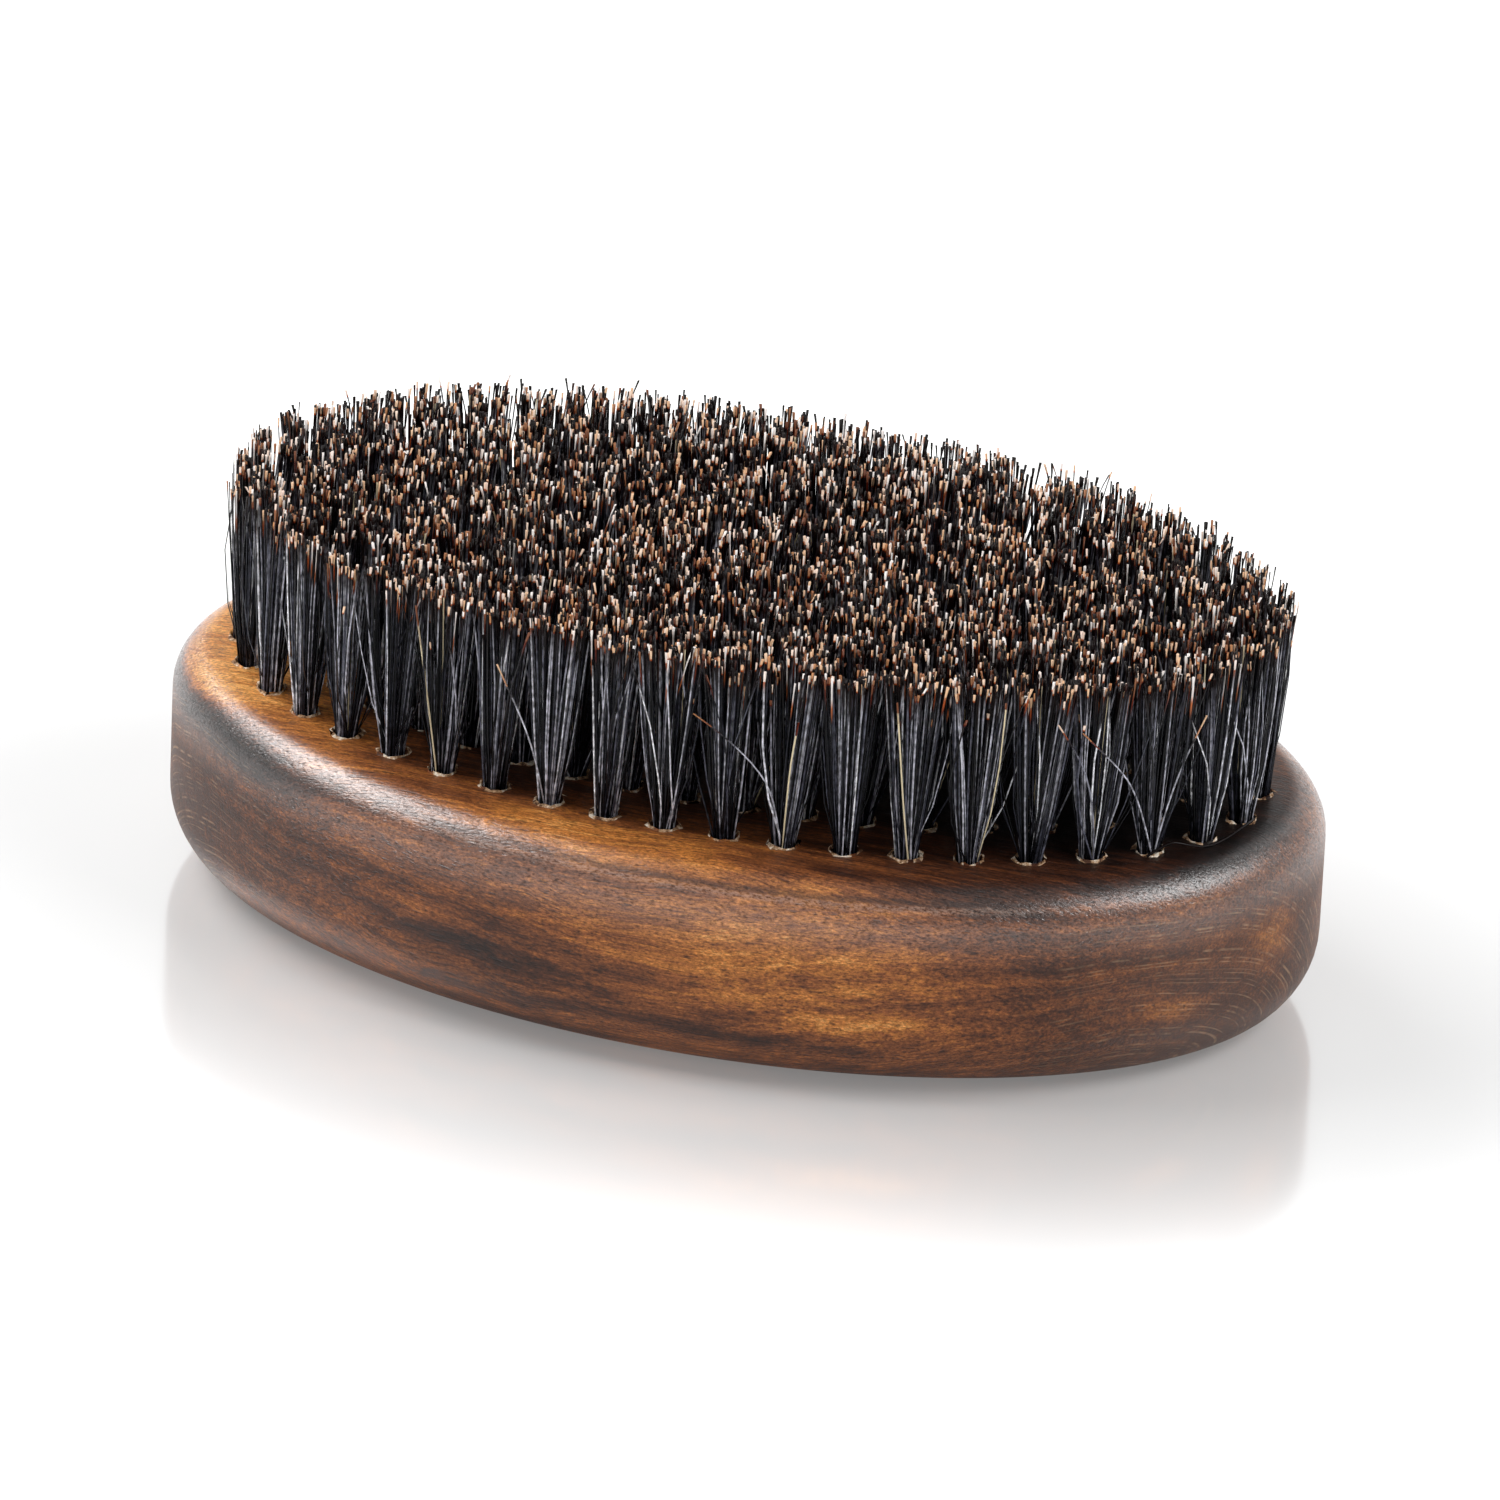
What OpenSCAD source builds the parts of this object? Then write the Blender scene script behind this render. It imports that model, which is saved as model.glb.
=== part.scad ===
// Oval palm brush: a one-piece wooden block, drilled from above in oval rings,
// with tufts of boar bristle folded over flat wire anchors in the holes.
// The brush lies on its flat underside with the bristles up. X runs along the
// block and Z is up, and the origin is the middle of the underside.

/* [Block] */
// Length of the block
block_length = 116; // [104:1:136]
// Width of the block
block_width = 70; // [64:1:80]
// Height of the wooden block without the bristles
block_height = 22.5; // [20:0.5:28]
// Rounding of the upper edge
top_edge_radius = 4.5; // [3:0.5:6]
// Rounding of the lower edge
bottom_edge_radius = 8; // [6:0.5:10]

/* [Bristle field] */
// From the end of the flat face to the middle of the outermost tuft
field_end_margin = 2.2; // [2:0.1:4]
// From the side of the flat face to the middle of the outermost tuft
field_side_margin = 4.7; // [4:0.1:6]
// Distance between tufts along a ring
tuft_pitch = 5.9; // [5.8:0.1:6.8]
// Trimmed height of the bristles above the wood
bristle_height = 19.2; // [12:0.1:24]
// Most that a single lock stands above or below the trimmed height
trim_unevenness = 0.4; // [0:0.1:0.8]
// Outward lean of the outermost tufts from root to tip
outer_lean = 1; // [0:0.1:1.5]

/* [Tufts] */
// Diameter of a drilled tuft hole
hole_diameter = 2.5; // [2.2:0.1:2.8]
// Depth of a tuft hole below the face of the block
hole_depth = 9; // [7:0.5:12]
// Width of a tuft across its spread tips
tuft_tip_diameter = 5.4; // [4.6:0.1:5.6]
// Thickness of the slice of the block's face that the locks of a ring are rooted in
face_slice = 0.8; // [0.6:0.1:1.2]
// Gap left round a tuft in its hole and round a slice in the face
root_clearance = 0.05; // [0.02:0.01:0.1]

/* [Anchors] */
// Thickness of the flat anchor wire
anchor_thickness = 0.4; // [0.3:0.05:0.5]
// Height of the anchor, which stands on edge across its hole
anchor_height = 1.8; // [1.2:0.1:2.4]
// How far each end of an anchor bites into the wood beside its hole
anchor_bite = 0.3; // [0.1:0.05:0.4]
// Thickness of the folded bristle under an anchor
fold_thickness = 0.7; // [0.5:0.1:1.2]

/* [Hidden] */

wood_colour = "#5b3519";
bristle_colour = "#211e22";
anchor_colour = "#b9b4a6";

// Steps round half of an oval outline, along half of a ring's arc, and round an edge
outline_steps = 48;
arc_steps = 120;
edge_steps = 7;

// The outer ring of tufts is an ellipse with these half axes. Three more rings
// follow it inwards at equal distance, and a straight row lies along the middle.
field_a = block_length / 2 - top_edge_radius - field_end_margin;
field_b = block_width / 2 - top_edge_radius - field_side_margin;
CENTRE = 4;
ring_step = field_b / CENTRE;

// Outward direction of the outer ring, and the point that lies a depth inside it
function outward(angle) =
    let (across = [cos(angle) / field_a, sin(angle) / field_b])
    across / norm(across);
function inside_point(depth, angle) =
    [field_a * cos(angle), field_b * sin(angle)] - depth * outward(angle);

// Angle at which the curve of a depth starts on the long axis. A curve deeper
// than the ellipse's tightest radius is a lens with two pointed ends.
function start_angle(depth) =
    let (reach = pow(depth * field_a / field_b, 2) - pow(field_b, 2))
    depth <= 0 || reach <= 0 ? 0 : asin(sqrt(reach / (pow(field_a, 2) - pow(field_b, 2))));

// Closed outline of a depth: its upper half, and the same points mirrored below
function half_outline(depth, steps) =
    let (from = start_angle(depth))
    [for (i = [0:steps]) inside_point(depth, from + (180 - 2 * from) * i / steps)];
function outline(depth) =
    let (upper = half_outline(depth, outline_steps))
    concat(upper, [for (i = [outline_steps - 1:-1:1]) [upper[i].x, -upper[i].y]]);

// Arc length from the end of a ring to each angle of its upper half
function arc_table(depth) =
    let (
        from = start_angle(depth),
        points = half_outline(depth, arc_steps)
    )
    [
        for (
            i = 0, s = 0;
            i <= arc_steps;
            s = s + (i < arc_steps ? norm(points[i + 1] - points[i]) : 0),
            i = i + 1
        ) [s, from + (180 - 2 * from) * i / arc_steps]
    ];

// Each tuft is [x, y, outward angle]. The tufts of a ring are evenly spaced
// along it, and every other ring starts half a pitch on.
function ring_tufts(ring) =
    let (
        depth = ring * ring_step,
        table = arc_table(depth),
        half = table[arc_steps][0],
        count = 2 * round(half / tuft_pitch),
        start = ring % 2 == 0 ? 0.5 : 0
    )
    [
        for (i = [0:count - 1])
            let (
                s = (i + start) * 2 * half / count,
                side = s <= half ? 1 : -1,
                angle = lookup(s <= half ? s : 2 * half - s, table),
                p = inside_point(depth, angle),
                out = outward(angle)
            )
            [p.x, side * p.y, atan2(side * out.y, out.x)]
    ];

// The row along the middle stays where the inner ring leaves room on both sides
row_share = 0.42;
function row_tufts() =
    let (
        inner_depth = (CENTRE - 1) * ring_step,
        each_side = floor(row_share * inside_point(inner_depth, start_angle(inner_depth)).x / tuft_pitch)
    )
    [for (i = [-each_side:each_side]) [i * tuft_pitch, 0, 90]];
function tufts(ring) = ring == CENTRE ? row_tufts() : ring_tufts(ring);

// One-piece block: oval layers whose distance inside the widest one follows
// the rounded lower edge, the upright side and the rounded upper edge
function edge_arc(radius, z, from) = [
    for (i = [0:edge_steps])
        let (angle = from + 90 * i / edge_steps)
        [radius * (1 - cos(angle)), z + radius * sin(angle)]
];
module block_body() {
    layers = concat(
        edge_arc(bottom_edge_radius, bottom_edge_radius, -90),
        edge_arc(top_edge_radius, block_height - top_edge_radius, 0)
    );
    around = 2 * outline_steps;
    top = (len(layers) - 1) * around;
    polyhedron(
        points = [
            for (layer = layers, i = [0:around - 1])
                let (angle = 360 * i / around)
                [
                    (block_length / 2 - layer[0]) * cos(angle),
                    (block_width / 2 - layer[0]) * sin(angle),
                    layer[1]
                ]
        ],
        faces = concat(
            [[for (i = [0:around - 1]) i], [for (i = [around - 1:-1:0]) top + i]],
            [
                for (low = [0:around:top - around], i = [0:around - 1], upper_half = [false, true])
                    let (next = (i + 1) % around, high = low + around)
                    upper_half
                        ? [high + i, high + next, low + next]
                        : [low + i, high + i, low + next]
            ]
        )
    );
}

// One ring of the block's face, as deep as the slice. It reaches half a step
// to each side of its tufts, and the outermost one a rim past its holes.
slice_rim = 0.5;
function slice_depth(ring) =
    ring == 0 ? -hole_diameter / 2 - slice_rim : (ring - 0.5) * ring_step;
module face_ring(ring, gap, thickness) {
    translate([0, 0, block_height - face_slice])
    linear_extrude(thickness)
    difference() {
        polygon(outline(slice_depth(ring) + gap));
        if (ring < CENTRE) polygon(outline(slice_depth(ring + 1) - gap));
    }
}

// Drilled hole, or the tuft's root that fills it, up to the middle of the slice
module root_cylinder(tuft, radius, depth) {
    translate([tuft.x, tuft.y, block_height - depth])
    cylinder(r = radius, h = depth - face_slice / 2, $fn = 24);
}

// Flat wire anchor on edge across the hole, above the fold of the tuft
anchor_z = block_height - hole_depth + root_clearance + fold_thickness;
module anchor(tuft) {
    half = hole_diameter / 2 + anchor_bite;
    translate([tuft.x, tuft.y, anchor_z])
    rotate(tuft[2] + 90)
    translate([-half, -anchor_thickness / 2, 0])
    cube([2 * half, anchor_thickness, anchor_height]);
}

// Three locks of bristle to a tuft, each a tapered strand with three sides. The
// pattern of the roots only grows and shifts on its way up, so no lock crosses
// another. Places and sizes are shares of the tuft's radius.
LOCKS = 3;
lock_place = 0.52;
lock_size = 0.47;
function lock_corners(middle, radius, turn, z) = [
    for (i = [0:2])
        let (
            x = middle.x + radius * (lock_place * cos(turn) + lock_size * cos(turn + 120 * i)),
            y = middle.y + radius * (lock_place * sin(turn) + lock_size * sin(turn + 120 * i))
        )
        [x, y, z]
];
module lock(ring, tuft, index, side) {
    turn = tuft[2] + 360 * side / LOCKS;
    lean = outer_lean * (1 - ring / CENTRE);
    tip = [tuft.x + lean * cos(tuft[2]), tuft.y + lean * sin(tuft[2])];
    trim = trim_unevenness * sin(137.5 * (LOCKS * index + side) + 61 * ring);
    polyhedron(
        points = concat(
            lock_corners(tuft, hole_diameter / 2 - root_clearance, turn, block_height - face_slice / 3),
            lock_corners(tip, tuft_tip_diameter / 2, turn, block_height + bristle_height + trim)
        ),
        faces = [
            [0, 1, 2], [5, 4, 3],
            [0, 3, 4], [0, 4, 1],
            [1, 4, 5], [1, 5, 2],
            [2, 5, 3], [2, 3, 0]
        ]
    );
}

// A ring of tufts: its slice of the face, and each tuft's root and locks
module ring_of_tufts(ring) {
    places = tufts(ring);
    color(bristle_colour) {
        difference() {
            union() {
                face_ring(ring, root_clearance, face_slice);
                for (tuft = places)
                    root_cylinder(tuft, hole_diameter / 2 - root_clearance, hole_depth - root_clearance);
            }
            for (tuft = places) anchor(tuft);
        }
        for (index = [0:len(places) - 1], side = [0:LOCKS - 1])
            lock(ring, places[index], index, side);
    }
}

module ring_of_anchors(ring) {
    color(anchor_colour)
    for (tuft = tufts(ring)) anchor(tuft);
}

module wood_block() {
    color(wood_colour)
    difference() {
        block_body();
        translate([0, 0, block_height - face_slice])
        linear_extrude(2 * face_slice)
        polygon(outline(slice_depth(0)));
        for (ring = [0:CENTRE], tuft = tufts(ring)) {
            root_cylinder(tuft, hole_diameter / 2, hole_depth);
            anchor(tuft);
        }
    }
}

module tufts_outer_ring() ring_of_tufts(0);
module tufts_second_ring() ring_of_tufts(1);
module tufts_third_ring() ring_of_tufts(2);
module tufts_inner_ring() ring_of_tufts(3);
module tufts_centre_row() ring_of_tufts(CENTRE);
module anchors_outer_ring() ring_of_anchors(0);
module anchors_second_ring() ring_of_anchors(1);
module anchors_third_ring() ring_of_anchors(2);
module anchors_inner_ring() ring_of_anchors(3);
module anchors_centre_row() ring_of_anchors(CENTRE);

wood_block();
tufts_outer_ring();
tufts_second_ring();
tufts_third_ring();
tufts_inner_ring();
tufts_centre_row();
anchors_outer_ring();
anchors_second_ring();
anchors_third_ring();
anchors_inner_ring();
anchors_centre_row();
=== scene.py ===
# Oval palm brush in its dressed form: a stained and lacquered wooden block with
# rings of boar bristle tufts, lying on its flat underside with the bristles up.
# Metres, with the same frame as the solids: X along the block and Z up.
import math
import random

import bmesh
import bpy
from bmesh.types import BMEdge, BMFace, BMVert
from mathutils import Matrix, Vector


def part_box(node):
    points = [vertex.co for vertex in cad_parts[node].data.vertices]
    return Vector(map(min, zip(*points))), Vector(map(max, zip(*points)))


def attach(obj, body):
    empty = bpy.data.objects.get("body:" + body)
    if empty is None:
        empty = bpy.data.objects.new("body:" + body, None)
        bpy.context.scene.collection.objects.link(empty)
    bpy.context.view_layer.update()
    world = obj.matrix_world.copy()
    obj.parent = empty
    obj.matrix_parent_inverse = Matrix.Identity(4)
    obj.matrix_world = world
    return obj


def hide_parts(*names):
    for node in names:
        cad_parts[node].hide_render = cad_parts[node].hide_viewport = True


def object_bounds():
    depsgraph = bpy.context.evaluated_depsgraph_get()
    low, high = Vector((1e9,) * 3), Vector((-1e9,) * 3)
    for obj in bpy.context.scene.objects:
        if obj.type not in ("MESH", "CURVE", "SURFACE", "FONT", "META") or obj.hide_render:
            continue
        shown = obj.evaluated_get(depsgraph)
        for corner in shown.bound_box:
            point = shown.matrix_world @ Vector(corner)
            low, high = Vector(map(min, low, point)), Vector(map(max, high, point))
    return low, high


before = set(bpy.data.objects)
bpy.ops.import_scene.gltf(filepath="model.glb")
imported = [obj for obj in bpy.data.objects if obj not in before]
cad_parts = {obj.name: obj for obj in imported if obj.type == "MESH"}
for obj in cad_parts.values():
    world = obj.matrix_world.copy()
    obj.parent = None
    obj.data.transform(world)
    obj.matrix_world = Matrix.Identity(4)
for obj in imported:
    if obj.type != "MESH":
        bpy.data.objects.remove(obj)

cad_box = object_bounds()

# ---------------------------------------------------------------------------
# Camera: a long lens on a stand, looking down on the front of the brush from
# its right, and rolled a little so that the brush lies across the frame.
MM = 0.001
view_turn = math.radians(16.9)
view_height = math.radians(26.7)
view_roll = math.radians(2.66)
view_distance = 1.5
film_width = 36  # mm
long_lens = 369.864  # mm, which takes in 146 mm from side to side at this distance
aim_height = 20 * MM
aim_right, aim_down = 0.331, 1.333  # mm, from that height above the origin to the frame's middle


def new_object(name, data):
    """An object in the scene that shows a mesh, a lamp or a camera."""
    made = bpy.data.objects.new(name, data)
    bpy.context.scene.collection.objects.link(made)
    return made


back = Vector((
    math.sin(view_turn) * math.cos(view_height),
    -math.cos(view_turn) * math.cos(view_height),
    math.sin(view_height),
))
side = Vector((math.cos(view_turn), math.sin(view_turn), 0))
up = back.cross(side)
across = side * math.cos(view_roll) + up * math.sin(view_roll)
upright = up * math.cos(view_roll) - side * math.sin(view_roll)
aim = Vector((0, 0, aim_height)) + across * aim_right * MM - upright * aim_down * MM

camera = new_object("camera", bpy.data.cameras.new("camera"))
bpy.context.scene.camera = camera
camera.data.sensor_width = film_width
camera.data.lens = long_lens
camera.matrix_world = Matrix.Translation(aim + back * view_distance) @ Matrix(
    (across, upright, back)
).transposed().to_4x4()
bpy.context.scene.view_settings.view_transform = "Standard"


# ---------------------------------------------------------------------------
# Studio: a white sweep under a large soft lamp on the left and three weaker ones,
# with a plain white surround. The sweep is glossy acrylic that fades to matt.
lamps_aim = Vector((0, 0, 0.02))
surround_light = 0.24    # strength of the white surround on matt surfaces
white_below, dim_above = 0.05, 0.35  # sines of the angles between which it dims in gloss
dim_light = 0.3          # its strength above them
behind_lift = 0.3        # how much higher, as a sine, it stays white behind the brush
sweep_size = 4
sweep_gap = 0.05 * MM    # between the sweep and the underside of the brush
sweep_glow = 0.36        # brightness that it shows where it is seen, without lighting the brush
sweep_mirror = 0.5       # its share of mirror near the brush
mirror_near, mirror_far = 1.2, 2.4  # half lengths of the brush between which the mirror fades


def linear(hex_colour):
    """An sRGB hex colour as the linear colour that a socket takes."""
    parts = [int(hex_colour[i:i + 2], 16) / 255 for i in (1, 3, 5)]
    return [c / 12.92 if c <= 0.04045 else ((c + 0.055) / 1.055) ** 2.4 for c in parts] + [1]


def add_node(tree, kind, inputs=None, stops=None, **settings):
    """Adds a node with its settings, values or links of its inputs, and ramp stops, ends first."""
    node = tree.nodes.new(kind)
    for name, value in settings.items():
        setattr(node, name, value)
    for name, value in (inputs or {}).items():
        if isinstance(value, bpy.types.NodeSocket):
            tree.links.new(value, node.inputs[name])
        else:
            node.inputs[name].default_value = value
    for i, (place, colour) in enumerate(stops or []):
        elements = node.color_ramp.elements
        element = elements[i] if i < 2 else elements.new(place)
        element.position = place
        element.color = linear(colour)
    return node


def new_material(name):
    """A material with an empty node tree and its output node."""
    material = bpy.data.materials.new(name)
    material.use_nodes = True
    material.node_tree.nodes.clear()
    return material, material.node_tree, add_node(material.node_tree, "ShaderNodeOutputMaterial")


def new_mesh(name, bm):
    """The mesh that a bmesh has shaped."""
    mesh = bpy.data.meshes.new(name)
    bm.to_mesh(mesh)
    bm.free()
    return mesh


def seen_directly(tree):
    """1 for the rays that see the background itself, or its image in gloss or glass."""
    path = add_node(tree, "ShaderNodeLightPath").outputs
    either = add_node(tree, "ShaderNodeMath", {0: path["Is Camera Ray"], 1: path["Is Glossy Ray"]},
                      operation="MAXIMUM")
    return add_node(tree, "ShaderNodeMath", {0: either.outputs[0], 1: path["Is Transmission Ray"]},
                    operation="MAXIMUM").outputs[0]


world = bpy.data.worlds.new("white_surround")
bpy.context.scene.world = world
world.use_nodes = True
tree = world.node_tree
tree.nodes.clear()
looking_up = add_node(tree, "ShaderNodeSeparateXYZ", {
    0: add_node(tree, "ShaderNodeTexCoord").outputs["Generated"]})
backdrop = add_node(tree, "ShaderNodeMapRange", {
    "Value": looking_up.outputs["Y"], "To Min": 0.0, "To Max": -behind_lift})
rise = add_node(tree, "ShaderNodeMath", {
    0: looking_up.outputs["Z"], 1: backdrop.outputs[0]}, operation="ADD")
ceiling = add_node(tree, "ShaderNodeMapRange", {
    "Value": rise.outputs[0], "From Min": white_below, "From Max": dim_above,
    "To Min": 1.0, "To Max": dim_light})
path = add_node(tree, "ShaderNodeLightPath").outputs
whiteness = add_node(tree, "ShaderNodeMath", {
    0: ceiling.outputs[0], 1: path["Is Camera Ray"]}, operation="MAXIMUM")
surround = add_node(tree, "ShaderNodeMapRange", {
    "Value": seen_directly(tree), "To Min": surround_light, "To Max": whiteness.outputs[0]})
sky = add_node(tree, "ShaderNodeBackground", {
    "Color": linear("#ffffff"), "Strength": surround.outputs[0]})
add_node(tree, "ShaderNodeOutputWorld", {"Surface": sky.outputs[0]})

for name, place, size, watts in (      # metres: where it hangs, its width and height
    ("lamp_left", (-0.64, 0.06, 0.76), (0.95, 0.36), 10.0),
    ("lamp_right", (0.70, -0.02, 0.70), (0.60, 0.40), 5.4),
    ("lamp_back", (0.12, 0.80, 0.72), (1.00, 0.30), 0.9),
    ("lamp_front", (-0.30, -0.90, 0.55), (1.20, 0.80), 1.4),
):
    data = bpy.data.lights.new(name, "AREA")
    data.shape = "RECTANGLE"
    data.size, data.size_y = size
    data.energy = watts
    lamp = new_object(name, data)
    lamp.location = place
    lamp.rotation_euler = (Vector(place) - lamps_aim).to_track_quat("Z", "Y").to_euler()

bm = bmesh.new()
bmesh.ops.create_grid(bm, x_segments=1, y_segments=1, size=sweep_size)
bmesh.ops.translate(bm, vec=(0, 0, -sweep_gap), verts=bm.verts)
floor = new_object("sweep", new_mesh("sweep", bm))

white_sweep, tree, output = new_material("white_acrylic_sweep")
place = add_node(tree, "ShaderNodeTexCoord").outputs["Object"]
shrunk = add_node(tree, "ShaderNodeMapping", {
    "Vector": place, "Scale": (1 / cad_box[1][0], 1 / cad_box[1][1], 0)})
reach = add_node(tree, "ShaderNodeVectorMath", {0: shrunk.outputs[0]}, operation="LENGTH")
gloss = add_node(tree, "ShaderNodeMapRange", {
    "Value": reach.outputs["Value"], "From Min": mirror_near, "From Max": mirror_far,
    "To Min": sweep_mirror, "To Max": 0.0}, interpolation_type="SMOOTHSTEP")
matt = add_node(tree, "ShaderNodeBsdfDiffuse", {"Color": linear("#ebebeb")})
glow = add_node(tree, "ShaderNodeMapRange", {
    "Value": seen_directly(tree), "To Min": 0.0, "To Max": sweep_glow})
lift = add_node(tree, "ShaderNodeEmission", {"Color": linear("#ffffff"), "Strength": glow.outputs[0]})
white = add_node(tree, "ShaderNodeAddShader", {0: matt.outputs[0], 1: lift.outputs[0]})
mirror = add_node(tree, "ShaderNodeBsdfGlossy", {"Color": linear("#ffffff"), "Roughness": 0.12})
mixed = add_node(tree, "ShaderNodeMixShader", {
    0: gloss.outputs[0], 1: white.outputs[0], 2: mirror.outputs[0]})
tree.links.new(mixed.outputs[0], output.inputs["Surface"])
floor.data.materials.append(white_sweep)


# ---------------------------------------------------------------------------
# Block: one piece of walnut-coloured hardwood, turned over on a spindle moulder
# to an oval with rounded edges, drilled from above with blind holes for the
# tufts, then sanded, stained by hand and given a thin satin lacquer.
half_length, half_width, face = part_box("wood_block")[1]
lower_edge, lower_parts = 8 * MM, 14
upper_edge, upper_parts = 4.5 * MM, 10
outline_parts = 160
same_level = 1e-6        # metres within which two heights are one
hole_radius = 1.25 * MM
hole_depth = 9 * MM
hole_neck = 3 * MM       # one more loop this deep keeps the wall's shading even
hole_parts = 16
torn_rim = 0.7 * MM      # widest band of torn fibres round a hole
torn_least = 0.25        # and its narrowest share of that
lip_width = 0.14 * MM    # of the fibres that stand up round a hole
lip_height = 0.12 * MM
rim_drop = 0.12 * MM     # depth to which the mouth is still raw

# The tufts stand in four oval rings at equal distance and a row along the middle
end_margin = 2.2 * MM    # from the rounded edge to the middle of the outer tufts
side_margin = 4.7 * MM
field_a = half_length - upper_edge - end_margin
field_b = half_width - upper_edge - side_margin
ring_step = field_b / 4
tuft_pitch = 5.9 * MM


def ring_places(ring):
    """The tufts of a ring as (place, outward direction), evenly spaced round it."""
    depth = ring * ring_step
    reach = (depth * field_a / field_b) ** 2 - field_b ** 2
    first = math.asin(math.sqrt(reach / (field_a ** 2 - field_b ** 2))) if reach > 0 else 0

    def at(angle):
        out = Vector((math.cos(angle) / field_a, math.sin(angle) / field_b, 0)).normalized()
        return Vector((field_a * math.cos(angle), field_b * math.sin(angle), 0)) - depth * out, out

    steps = 120
    angles = [first + (math.pi - 2 * first) * i / steps for i in range(steps + 1)]
    arc = [0]
    for i in range(steps):
        arc.append(arc[-1] + (at(angles[i + 1])[0] - at(angles[i])[0]).length)
    half = arc[-1]
    count = 2 * round(half / tuft_pitch)
    places = []
    for i in range(count):
        s = (i + (0.5 if ring % 2 == 0 else 0)) * 2 * half / count
        sign = 1 if s <= half else -1
        s = s if s <= half else 2 * half - s
        k = max(j for j in range(steps) if arc[j] <= s)
        share = (s - arc[k]) / (arc[k + 1] - arc[k])
        point, out = at(angles[k] + (angles[k + 1] - angles[k]) * share)
        places.append((Vector((point.x, sign * point.y, face)), Vector((out.x, sign * out.y, 0))))
    return places


RINGS = {
    "outer_ring": ring_places(0),
    "second_ring": ring_places(1),
    "third_ring": ring_places(2),
    "inner_ring": ring_places(3),
    "centre_row": [(Vector((i * tuft_pitch, 0, face)), Vector((0, 1, 0))) for i in range(-2, 3)],
}


def only(kind, made):
    """The vertices, edges or faces alone of what an operator made."""
    return [part for part in made if isinstance(part, kind)]


def far_edges(made):
    """The edges of an extruded band from which the next band grows."""
    return [e for e in only(BMEdge, made) if len(e.link_faces) == 1 and all(v in made for v in e.verts)]


bm = bmesh.new()
bmesh.ops.create_circle(bm, cap_ends=True, segments=outline_parts, radius=1)
bmesh.ops.scale(bm, vec=(half_length, half_width, 1), verts=bm.verts)
grown = bmesh.ops.extrude_face_region(bm, geom=bm.faces[:])["geom"]
bmesh.ops.translate(bm, vec=(0, 0, face), verts=only(BMVert, grown))
bmesh.ops.recalc_face_normals(bm, faces=bm.faces)
for level, radius, parts in ((0, lower_edge, lower_parts), (face, upper_edge, upper_parts)):
    rim = [e for e in bm.edges if all(abs(v.co.z - level) < same_level for v in e.verts)]
    bmesh.ops.bevel(bm, geom=rim, offset=radius, offset_type="OFFSET", affect="EDGES",
                    segments=parts, profile=0.5, material=-1)
flat_top = [f for f in bm.faces if f.calc_center_median().z > face - same_level]
bmesh.ops.delete(bm, geom=flat_top, context="FACES_ONLY")

chance = random.Random(11)
rim_loops = []
for place, out in [tuft for ring in RINGS.values() for tuft in ring]:
    loop = bmesh.ops.create_circle(bm, segments=hole_parts, radius=hole_radius,
                                   matrix=Matrix.Translation(place))["verts"]
    for v in loop:
        torn = torn_least + (1 - torn_least) * chance.random() ** 2
        v.co += (v.co - place).normalized() * torn_rim * torn
    rim_loops.append((place, loop))
flat_edges = [e for e in bm.edges if len(e.link_faces) < 2]
bmesh.ops.triangle_fill(bm, edges=flat_edges, use_beauty=True, use_dissolve=False, normal=(0, 0, 1))
for f in bm.faces:
    f.smooth = f.calc_center_median().z < face - same_level

for place, loop in rim_loops:
    edges = list({e for v in loop for e in v.link_edges if all(w in loop for w in e.verts)})
    for radius, z, torn in (           # and the share of the band that is raw fibre
        (hole_radius + lip_width, face + lip_height, 0.8),
        (hole_radius, face - rim_drop, 0.65),
        (hole_radius, face - hole_neck, 0),
        (hole_radius, face - hole_depth, 0),
    ):
        new = bmesh.ops.extrude_edge_only(bm, edges=edges)["geom"]
        edges = far_edges(new)
        for f in only(BMFace, new):
            f.smooth = True
            f.material_index = 1 if chance.random() < torn else 0
        for v in only(BMVert, new):
            flat = Vector((v.co.x - place.x, v.co.y - place.y, 0)).normalized() * radius
            v.co = Vector((place.x, place.y, z)) + flat
            if z > face:
                ragged = Vector((0, 0, chance.uniform(-0.06, 0.22))) * MM
                v.co += ragged + flat * chance.uniform(-0.05, 0.1)
    bmesh.ops.contextual_create(bm, geom=edges)
bmesh.ops.recalc_face_normals(bm, faces=bm.faces)
block = new_object("block", new_mesh("block", bm))
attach(block, "root")
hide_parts("wood_block")

# Walnut-stained hardwood under satin lacquer. The eye sees grain lines along the block,
# fine open pores, pools of amber and dark stain, and a soft gloss that the pores break up.
# Painted into the colour are shade under the bristle field, light against the tufts' shadow along the front
# of the face, and a highlight along the upper edge.
stained_walnut, tree, output = new_material("stained_walnut_satin_lacquer")
place = add_node(tree, "ShaderNodeTexCoord").outputs["Object"]

# Wandering grain: every pattern is drawn on a place that drifts by up to 2 mm
drift = add_node(tree, "ShaderNodeTexNoise", {"Vector": place, "Scale": 1 / (22 * MM), "Detail": 2})
centred = add_node(tree, "ShaderNodeVectorMath", {0: drift.outputs["Color"], 1: (0.5, 0.5, 0.5)},
                   operation="SUBTRACT")
wandered = add_node(tree, "ShaderNodeVectorMath", {
    0: centred.outputs[0], 1: (6 * MM, 4 * MM, 4 * MM), 2: place}, operation="MULTIPLY_ADD").outputs[0]

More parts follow.
